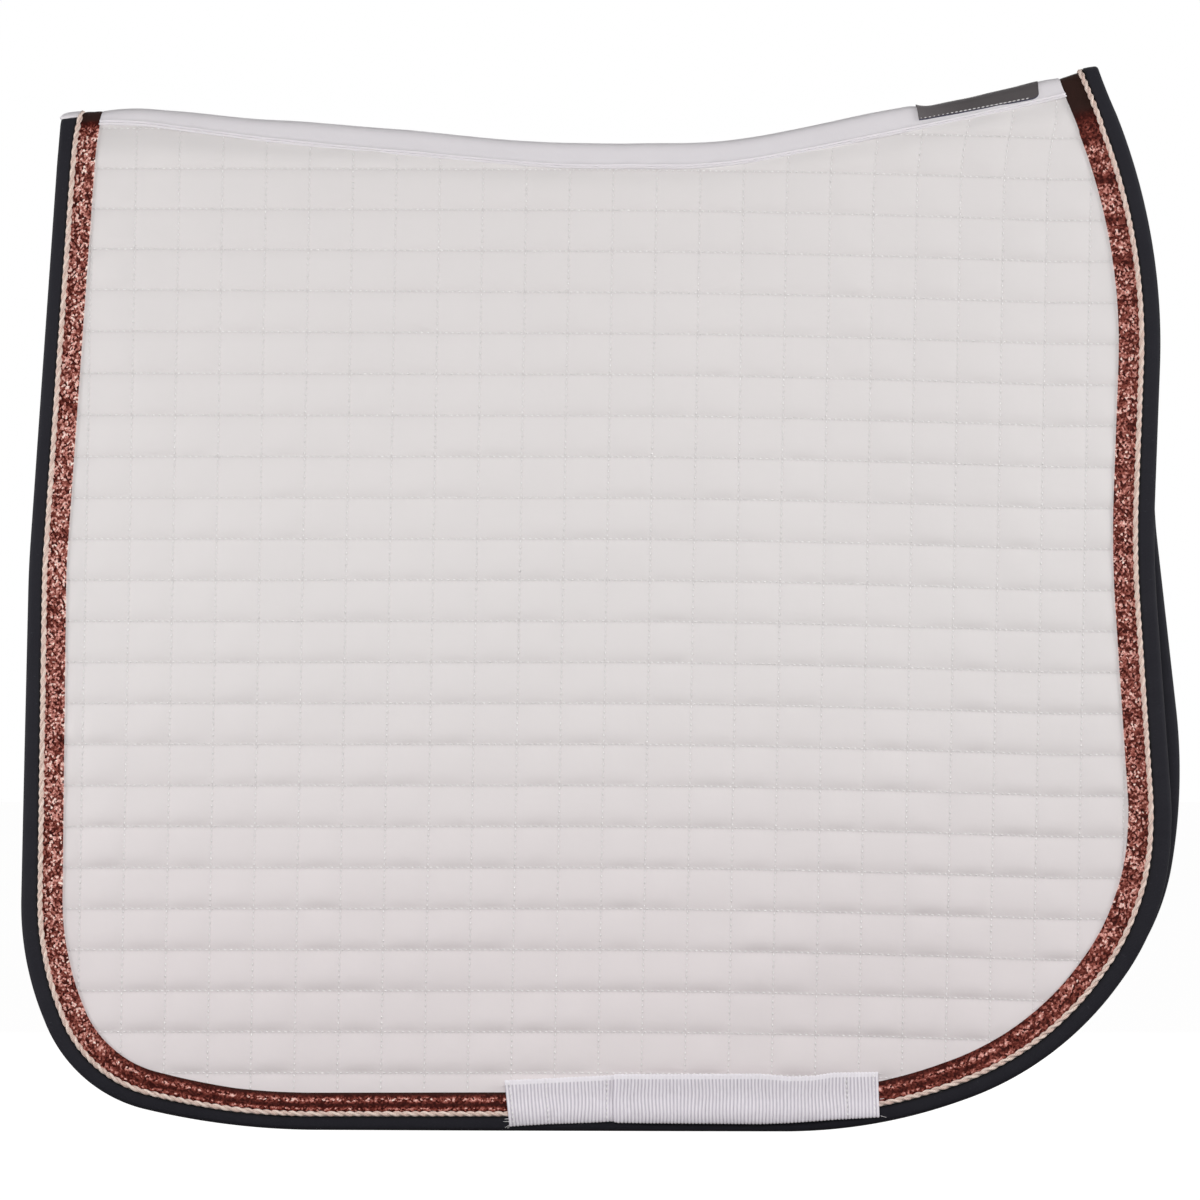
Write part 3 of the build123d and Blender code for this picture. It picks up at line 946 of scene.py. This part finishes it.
def strapFrays(flap, side):
    # short frayed ends at the strap's cut corners: thin tubes along a parabola
    pick = np.random.default_rng(81)
    t, around = np.linspace(0, 1, 7)[:, None], np.arange(6) * pi / 3
    radius = 0.16 * mm * (1 - 0.5 * t)
    frays = []
    for startX, startUp in strap["frays"]:
        length, droop = pick.uniform(1.6, 3.6) * mm, pick.uniform(-0.9, 0.4) * mm
        baseX, baseZ, baseLift = strapPlace(np.array([startX * mm]), np.array([startUp]))
        x = baseX + np.sign(startX) * length * t + 0 * around
        z = baseZ + droop * t ** 2 - 1.0 * mm * t * (startUp < 0.05) + radius * np.cos(around)
        lift = baseLift + 0.5 * mm + 0.5 * mm * t * np.sin(3 * t + startX) + radius * np.sin(around)
        fibre = cloth(x, side * downCloth(x, z), lift)
        frays.append(carried(fibre, t[:, 0] * length / mm, np.arange(7) * 0.17))
    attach(threadPiece(flap + "GirthStrapFrays", together(frays)), flap + "_flap")


# Cloth and thread finishes; flat coordinates are in millimetres

columnPitch, rowPitch = quilting["columnPitch"] / mm, quilting["rowPitch"] / mm


def seamDistance(number, pitch):
    # distance from the nearest whole number, in mm
    return ((number + 0.5).remainder() - 0.5).size() * pitch


def seamsOf(along, down):
    # column and row numbers, and the distances to their nearest seams
    column, row = along / columnPitch, down / rowPitch
    return column, row, seamDistance(column, columnPitch), seamDistance(row, rowPitch)


def sewnAlong(finish, toSeam, number, pitch):
    # thread along a seam, hidden at the holes between its stitches
    toHole = seamDistance(number * thread["perSquare"], pitch / thread["perSquare"])
    return finish.between(toSeam, 0.2, 0.5, 1, 0) * finish.between(toHole, 0.5, 0.8, 0, 1)


cotton = Finish("quiltedCotton", Roughness=0.9, Specular_IOR_Level=0.2, Sheen_Weight=0.05)
flat, along, down = cotton.cloth()
column, row, toColumn, toRow = seamsOf(along, down)
crossing = cotton.between(toRow, 0.2, 0.9, 1, 0) * cotton.between(toColumn, 0.2, 0.9, 1, 0)
rowSeam, columnSeam = cotton.between(toRow, 0.2, 1.3, 1, 0), cotton.between(toColumn, 0.2, 1.0, 1, 0)
stitchTurn = 2 * pi * thread["perSquare"]
pulled = rowSeam * (0.5 + 0.5 * (column * stitchTurn).sine())
pulled = pulled + 0.7 * columnSeam * (0.5 + 0.5 * (row * stitchTurn).sine())
ground = cotton.mix(cotton.noise(flat, 70, 2), (0.790, 0.757, 0.752), (0.765, 0.733, 0.729))
# painted shade: the lower rows are painted darker and pinker, as the light falls off towards the bottom
ground = cotton.mix(cotton.between(row, 10, 21, 0, 1), ground, (0.772, 0.717, 0.722))
ground = cotton.mix(0.09 * rowSeam + 0.05 * columnSeam + 0.06 * crossing, ground, (0.36, 0.33, 0.33))
below = row.remainder() * rowPitch  # distance under the seam above
# painted shade: each square darker just under its row seam, where the square above overhangs it, and more so
# at the top of the upper rear squares
creaseShadow = cotton.between(below, 0.4, 2.6, 1, 0) * cotton.between(row, 6, 18, 0.05, 0.1)
rearTopShade = cotton.between(below, 0.5, 8, 1, 0) * cotton.between(row, 5, 9, 1, 0)
rearTopShade = rearTopShade * cotton.between(column, 3, 13, 0.045, 0.01)
ground = cotton.mix(creaseShadow + rearTopShade, ground, (0.30, 0.27, 0.28))
relief = cotton.bump(pulled * 0.5 + cotton.noise(flat, 9, 3) * 0.9, 0.00016)
relief = cotton.bump(cotton.weave(along, down, 0.62), 0.00003, normal=relief)
quiltedCotton = cotton.paint(Base_Color=ground, Normal=relief)

flatCells = {"voronoi_dimensions": "2D"}
mesh = Finish("liningMesh", Roughness=0.85, Specular_IOR_Level=0.25)
flat, along, down = mesh.cloth()
column, row, toColumn, toRow = seamsOf(along, down)
net = mesh.node("TexVoronoi", flatCells, {"Vector": flat, "Scale": 1 / 1.9, "Randomness": 0.15})
sewn = sewnAlong(mesh, toRow, column, columnPitch) + sewnAlong(mesh, toColumn, row, rowPitch)
hole = mesh.between(net, 0.28, 0.42, 1, 0) * (1 - sewn)
ground = mesh.mix(hole, (0.73, 0.72, 0.71), (0.45, 0.44, 0.43))
relief = mesh.bump(sewn * 0.6 - hole + 0.2 * mesh.noise(flat, 6), 0.0003)
liningMesh = mesh.paint(Base_Color=mesh.mix(sewn, ground, (0.78, 0.77, 0.76)), Normal=relief)

navy = Finish("navyBinding", Specular_IOR_Level=0.15, Sheen_Weight=0.03)
flat, along, across = navy.cloth()
lint = navy.between(navy.noise(flat, 1.3, 3, 0.6), 0.62, 0.78)
wearAndCordShadow = navy.mix(navy.noise(flat, 30, 3), (0.0108, 0.0104, 0.0152), (0.0160, 0.0155, 0.0208))
# painted shadow: the binding near black in the gap beside the cord; the rest is its own worn tone and lint
cordShadow = navy.between(across, 0.6, 1.6, 1, 0)
wearAndCordShadow = navy.mix(cordShadow, wearAndCordShadow, (0.001, 0.001, 0.001))
wearAndCordShadow = navy.mix(lint * 0.12, wearAndCordShadow, (0.20, 0.20, 0.24))
relief = navy.bump(navy.weave(along, across, 0.8), 0.00009, normal=navy.bump(navy.noise(flat, 5, 3), 0.0003))
navyBinding = navy.paint(Base_Color=wearAndCordShadow, Roughness=0.72 + 0.15 * lint, Normal=relief)

glitter = Finish("glitterWeave", Specular_IOR_Level=0.08, Roughness=0.6)
flat = glitter.cloth()[0]
flakes = glitter.node("TexVoronoi", flatCells, {"Vector": flat, "Scale": 1 / 1.2}, 1)
dust = glitter.node("TexVoronoi", flatCells, {"Vector": flat, "Scale": 1 / 0.7}, 1)
flake, speck = (glitter.node("SeparateColor", {}, {0: cells}) for cells in (flakes, dust))
shine = glitter.node("Attribute", {"attribute_name": "shine"}, {}, 2)
# painted glints: each flake's brightness is a random painted glint, scaled by the painted glint strength of
# the point
sparkle = 0.8 * flake + 0.26 * speck + 0.16 * (glitter.noise(flat, 4, 2) - 0.5)
ground = glitter.node("ValToRGB", {"stops": [
    (0.0, (0.024, 0.0016, 0.0008)),
    (0.2, (0.044, 0.0050, 0.0030)),
    (0.4, (0.140, 0.027, 0.019)),
    (0.58, (0.325, 0.092, 0.070)),
    (0.76, (0.760, 0.360, 0.305)),
    (0.94, (1.0, 0.860, 0.780)),
]}, {0: sparkle * (0.12 + 0.88 * shine)})
# painted shade: dark red brown where the painted glint strength is low, over the ridge
ground = glitter.mix(glitter.between(shine, 0, 0.3, 0.9, 0), ground, (0.026, 0.0125, 0.0098))
# each flake is tilted its own way: the normal, plus the flake's random colour about its middle
tilt = glitter.node("VectorMath", {"operation": "SUBTRACT"}, {0: flakes, 1: (0.5, 0.5, 0.5)})
tilt = glitter.node("VectorMath", {"operation": "SCALE"}, {0: tilt, "Scale": 0.35})
level = glitter.node("NewGeometry", {}, {}, 1)
facing = glitter.node("VectorMath", {"operation": "ADD"}, {0: level, 1: tilt})
facing = glitter.node("VectorMath", {"operation": "NORMALIZE"}, {0: facing})
glitterWeave = glitter.paint(Base_Color=ground, Normal=facing)


def strand(name, light, dark):
    # twisted yarn: fine fibres slanting round the strand, with fluff
    yarn = Finish(name, Roughness=0.75, Specular_IOR_Level=0.3, Sheen_Weight=0.1)
    flat, along, around = yarn.cloth()
    fibres = 0.5 + 0.5 * ((along * 0.8 + around) * (2 * pi / 1.05) + 3 * yarn.noise(flat, 1.5)).sine()
    tone = 0.55 * fibres + 0.45 * yarn.noise(flat, 2.2, 2)
    relief = yarn.bump(fibres, 0.00012, normal=yarn.bump(yarn.noise(flat, 0.9, 3), 0.0001))
    return yarn.paint(Base_Color=yarn.mix(tone, dark, light), Normal=relief)


creamStrand = strand("creamStrand", (0.97, 0.86, 0.78), (0.66, 0.46, 0.38))
roseStrand = strand("roseStrand", (0.92, 0.76, 0.68), (0.50, 0.31, 0.25))

satin = Finish("satinTape", Roughness=0.6, Specular_IOR_Level=0.35, Sheen_Weight=0.05)
flat, along, across = satin.cloth()
ground = satin.mix(satin.noise(flat, 25, 2), (0.800, 0.768, 0.795), (0.775, 0.744, 0.772))
relief = satin.bump(satin.noise(flat, 7, 3), 0.00025)
relief = satin.bump(satin.weave(along, across, 0.5), 0.00003, normal=relief)
satinTape = satin.paint(Base_Color=ground, Roughness=0.5 + 0.2 * satin.noise(flat, 3, 2), Normal=relief)

webbing = Finish("ribbedWebbing", Roughness=0.8, Specular_IOR_Level=0.25, Sheen_Weight=0.05)
flat, along, up = webbing.cloth()
rib = strap["rib"] / mm
groove = webbing.between(seamDistance(along / rib, rib), 0.2, 0.85, 1, 0)
twill = 0.5 + 0.5 * ((along * 0.7 + up) * (2 * pi / 0.62)).sine()
# painted shade: the grooves between the ribs darker, only faintly on the selvedge
shaded = groove * webbing.between(up, 23.2, 24, 1, 0.1)
ground = webbing.mix(shaded, (0.880, 0.845, 0.890), (0.590, 0.550, 0.610))
ground = webbing.mix(0.12 * webbing.noise(flat, 5, 3), ground, (0.55, 0.51, 0.56))
ribbedWebbing = webbing.paint(Base_Color=ground, Normal=webbing.bump(twill * (1 - groove), 0.00008))

white = Finish("whiteThread", Roughness=0.7, Specular_IOR_Level=0.3)
fluff = white.noise(white.node("TexCoord", {}, {}, 3), 0.004, 2)
whiteThread = white.paint(Base_Color=white.mix(fluff, (0.92, 0.90, 0.90), (0.78, 0.76, 0.76)))

label = Finish("wovenLabel", Roughness=0.55, Specular_IOR_Level=0.35)
flat, along, across = label.cloth()
threads = 0.5 + 0.5 * (across * (2 * pi / 0.45)).sine()
# painted shade: the label lighter at its left end and darker towards its right end
ground = label.mix(label.between(along, 186, 215, 1, 0), (0.070, 0.061, 0.063), (0.120, 0.107, 0.111))
ground = label.mix(0.35 * threads * label.noise(flat, 2.5, 3), ground, (0.045, 0.040, 0.042))
wovenLabel = label.paint(Base_Color=ground, Normal=label.bump(threads + label.noise(flat, 4), 0.00006))

hem = Finish("labelHem", Roughness=0.6, Specular_IOR_Level=0.3)
shade = hem.noise(hem.cloth()[0], 1.2)
labelHem = hem.paint(Base_Color=hem.mix(shade, (0.020, 0.020, 0.045), (0.055, 0.052, 0.090)))
print("finishes made:", len(bpy.data.materials))

for flap, side, corners in flaps:
    samples = edgeSamples(corners)
    quiltedPanel(flap, side, samples)
    meshLining(flap, side, samples)
    quiltStitches(flap, side, samples, "Rows")
    quiltStitches(flap, side, samples, "Columns")
    print(flap, "panel quilted")
    edgeBinding(flap, side, corners)
    glitterRibbon(flap, side, corners)
    twistedCord(flap, side, corners)
    girthStrap(flap, side)
    strapFrays(flap, side)
    print(flap, "trims and girth loop sewn on")

nearEdge = edgeLine(flaps[0][2], 2.5 * mm)
spineBand(nearEdge)
spineLabel()
seamTape(nearEdge)
print("spine covered")


# Stage: white room, pale floor, softboxes in front, at both sides and behind

room = dict(
    floor=-0.66,
    floorHalf=14,
    cameraHeight=-0.2642,
    cameraDistance=6.0134,
    view=0.7044,  # what the frame takes in at the pad, in metres
    viewDistance=6.0,
    worldLight=0.22,
    aim=(0, 0, -0.28),  # the middle of the pad, which every softbox faces
    softboxes=[  # name, place, width, height and watts
        ("frontSoftbox", (0.07, -1.55, -0.15), 0.9, 0.5, 13.5),
        ("rightSoftbox", (1.8, -0.49, 0.28), 0.5, 0.7, 16.9),
        ("leftSoftbox", (-1.4, -0.4, -0.26), 0.5, 0.7, 9.5),
        ("backSoftbox", (0, 3.0, 0.6), 2.2, 1.6, 45),
    ],
)

for name, place, width, height, power in room["softboxes"]:
    lamp = bpy.data.lights.new(name, "AREA")
    lamp.shape = "RECTANGLE"
    lamp.size, lamp.size_y, lamp.energy = width, height, power
    box = placed(name, lamp)
    box.location = place
    across, back, up = np.array(room["aim"]) - np.array(place)
    box.rotation_euler = (np.arctan2(np.hypot(across, back), -up), 0, np.arctan2(back, across) - pi / 2)

world = bpy.data.worlds.new("room")
world.use_nodes = True
bpy.context.scene.world = world
nodes, links = world.node_tree.nodes, world.node_tree.links
backdrop, rays = nodes["Background"], nodes.new("ShaderNodeLightPath")
backdrop.inputs["Color"].default_value = (1, 1, 1, 1)
seen = rays.outputs["Is Camera Ray"]
for ray in ("Is Glossy Ray", "Is Transmission Ray"):
    either = nodes.new("ShaderNodeMath")
    either.operation = "MAXIMUM"
    links.new(seen, either.inputs[0])
    links.new(rays.outputs[ray], either.inputs[1])
    seen = either.outputs[0]
strength = nodes.new("ShaderNodeMapRange")
links.new(seen, strength.inputs[0])
strength.inputs[3].default_value = room["worldLight"]
strength.inputs[4].default_value = 1
links.new(strength.outputs[0], backdrop.inputs["Strength"])

pale = Finish("paleFloor", Base_Color=(0.16, 0.15, 0.15), Roughness=0.9, Specular_IOR_Level=0.0)
cameraOnly = pale.node("LightPath", {}, {}, 0)
pale.paint(Emission_Color=(1.0, 1.0, 1.0), Emission_Strength=0.95 * cameraOnly)
half = room["floorHalf"]
floorMesh = bpy.data.meshes.new("floor")
square = [(-half, -half), (half, -half), (half, half), (-half, half)]
floorMesh.from_pydata([(x, y, room["floor"]) for x, y in square], [], [(0, 1, 2, 3)])
floorMesh.materials.append(pale.material)
placed("floor", floorMesh)

lens = bpy.data.cameras.new("camera")
lens.sensor_width = 36
lens.lens = lens.sensor_width * room["viewDistance"] / room["view"]
lens.clip_end = 60
camera = placed("camera", lens)
camera.location = (0, -room["cameraDistance"], room["cameraHeight"])
camera.rotation_euler = (pi / 2, 0, 0)
bpy.context.scene.camera = camera
bpy.context.scene.view_settings.view_transform = "Standard"
print("stage set")
